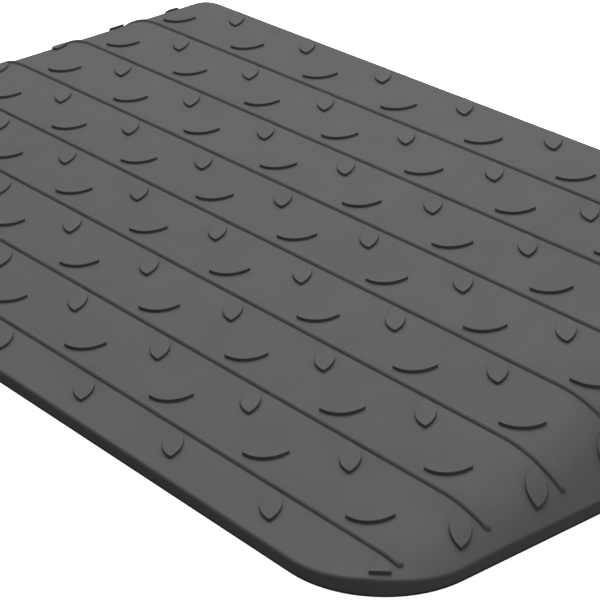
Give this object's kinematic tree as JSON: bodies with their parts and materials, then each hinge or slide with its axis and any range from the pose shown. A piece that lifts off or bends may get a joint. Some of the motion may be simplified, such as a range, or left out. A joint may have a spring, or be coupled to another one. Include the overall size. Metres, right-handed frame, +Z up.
{
  "type": "rubber threshold ramp",
  "caption": "Moulded rubber wedge that ramps a wheel up to a raised door sill, with rolled side flares, cross ribs and leaf-shaped grip pads.",
  "frame": {"origin": "on the floor, under the middle of the ramp's bounding box", "axes": "+X runs across the ramp from its left side to its right as seen by someone going up it, +Y runs up the slope towards the door sill, +Z is up"},
  "size_m": [0.893, 0.4892, 0.0841],
  "materials": {
    "moulded_rubber": "matte, fine moulded grain"
  },
  "bodies": {
    "root": {"ramp_body": "moulded_rubber", "tread_rib_1": "moulded_rubber", "tread_rib_2": "moulded_rubber", "tread_rib_3": "moulded_rubber", "tread_rib_4": "moulded_rubber", "tread_rib_5": "moulded_rubber", "tread_rib_6": "moulded_rubber", "tread_rib_7": "moulded_rubber", "left_leaning_pads_row_1": "moulded_rubber", "left_leaning_pads_row_2": "moulded_rubber", "left_leaning_pads_row_3": "moulded_rubber", "left_leaning_pads_row_4": "moulded_rubber", "left_leaning_pads_row_5": "moulded_rubber", "left_leaning_pads_row_6": "moulded_rubber", "left_leaning_pads_row_7": "moulded_rubber", "left_leaning_pads_row_8": "moulded_rubber", "right_leaning_pads_row_1": "moulded_rubber", "right_leaning_pads_row_2": "moulded_rubber", "right_leaning_pads_row_3": "moulded_rubber", "right_leaning_pads_row_4": "moulded_rubber", "right_leaning_pads_row_5": "moulded_rubber", "right_leaning_pads_row_6": "moulded_rubber", "right_leaning_pads_row_7": "moulded_rubber"}
  },
  "joints": []
}
